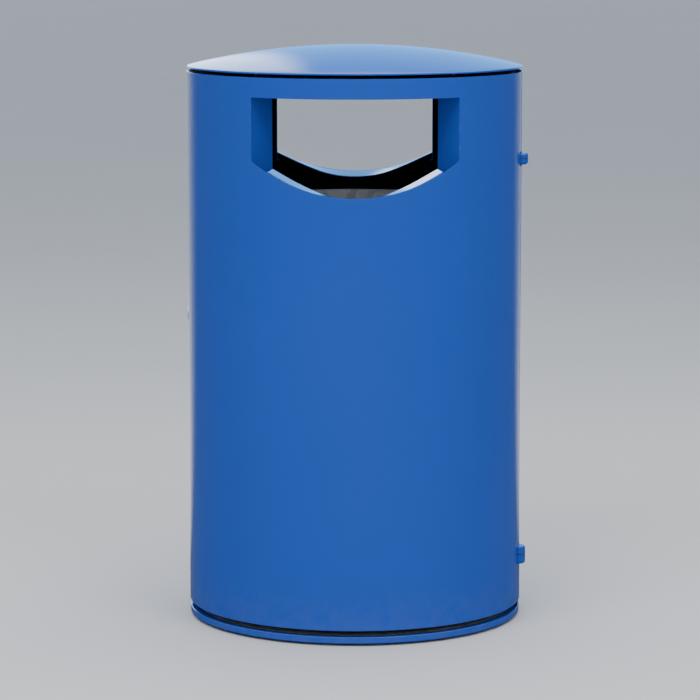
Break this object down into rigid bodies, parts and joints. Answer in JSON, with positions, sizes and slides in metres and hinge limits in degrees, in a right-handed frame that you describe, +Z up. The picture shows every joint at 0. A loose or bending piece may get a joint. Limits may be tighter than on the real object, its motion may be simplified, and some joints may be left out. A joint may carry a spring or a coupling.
{
  "type": "litter bin",
  "caption": "Free-standing round blue steel litter bin, shallow domed lid, open smile-shaped mouths front and rear, hinged front half, lift-out liner",
  "frame": {"origin": "on the ground under the axis of the round shell, at the centre of the footprint", "axes": "+Z up, -Y out through the front mouth, +X to the hinge side"},
  "size_m": [0.5389, 0.53, 0.909],
  "materials": {
    "blue_paint": "gloss powder coat",
    "frame_paint": "satin black",
    "galvanised": "hot-dip galvanised",
    "zinc_steel": "zinc plated",
    "rubber": "matt",
    "nylon": "matt"
  },
  "bodies": {
    "casing": {"base_ring": "blue_paint", "base_plate": "galvanised", "plinth_ring": "frame_paint", "liner_locator": "galvanised", "foot_pads": "rubber", "foot_screws": "zinc_steel", "hinge_post": "frame_paint", "lock_post": "frame_paint", "top_ring": "frame_paint", "ring_brackets": "frame_paint", "base_brackets": "frame_paint", "rear_shell": "blue_paint", "rear_cheek_left": "blue_paint", "rear_cheek_right": "blue_paint", "rear_sill": "blue_paint", "rear_roof": "blue_paint", "lid_skin": "blue_paint", "lid_frame": "frame_paint", "lid_crossbar": "frame_paint", "lid_spacers": "frame_paint", "lid_bolts": "zinc_steel", "lid_nuts": "zinc_steel", "casing_top_hinge": "blue_paint", "casing_bottom_hinge": "blue_paint", "top_hinge_pin": "zinc_steel", "bottom_hinge_pin": "zinc_steel", "hinge_washers": "nylon", "lock_keeper": "frame_paint", "door_buffers": "rubber"},
    "door": {"door_shell": "blue_paint", "door_hinge_stile": "frame_paint", "door_lock_stile": "frame_paint", "door_top_rail": "frame_paint", "door_middle_rail": "frame_paint", "door_bottom_rail": "frame_paint", "front_cheek_left": "blue_paint", "front_cheek_right": "blue_paint", "front_sill": "blue_paint", "front_roof": "blue_paint", "door_top_hinge": "blue_paint", "door_bottom_hinge": "blue_paint", "lock_housing": "zinc_steel", "lock_nut": "zinc_steel"},
    "lock": {"lock_plug": "zinc_steel", "lock_cam": "zinc_steel", "cam_screw": "zinc_steel"},
    "liner": {"liner_shell": "galvanised", "liner_base": "galvanised", "liner_bead": "galvanised", "front_lugs": "galvanised", "rear_lugs": "galvanised"},
    "front_drop_handle": {"front_handle": "galvanised"},
    "rear_drop_handle": {"rear_handle": "galvanised"}
  },
  "joints": [
    {"name": "door_swing", "type": "hinge", "parent": "casing", "child": "door", "pos_m": [0.26196, -0.04619, 0.4], "axis": [0, 0, 1], "range_deg": [0, 110]},
    {"name": "lock_turn", "type": "hinge", "parent": "door", "child": "lock", "pos_m": [-0.23428, 0.01844, 0.48], "axis": [0.9969, -0.0785, 0], "range_deg": [0, 90]},
    {"name": "liner_lift", "type": "slide", "parent": "casing", "child": "liner", "axis": [0, 0, 1], "range_m": [0, 0.025]},
    {"name": "front_handle_swing", "type": "hinge", "parent": "liner", "child": "front_drop_handle", "pos_m": [0, -0.208, 0.62799], "axis": [-1, 0, 0], "range_deg": [0, 90]},
    {"name": "rear_handle_swing", "type": "hinge", "parent": "liner", "child": "rear_drop_handle", "pos_m": [0, 0.208, 0.62799], "axis": [1, 0, 0], "range_deg": [0, 90]}
  ]
}
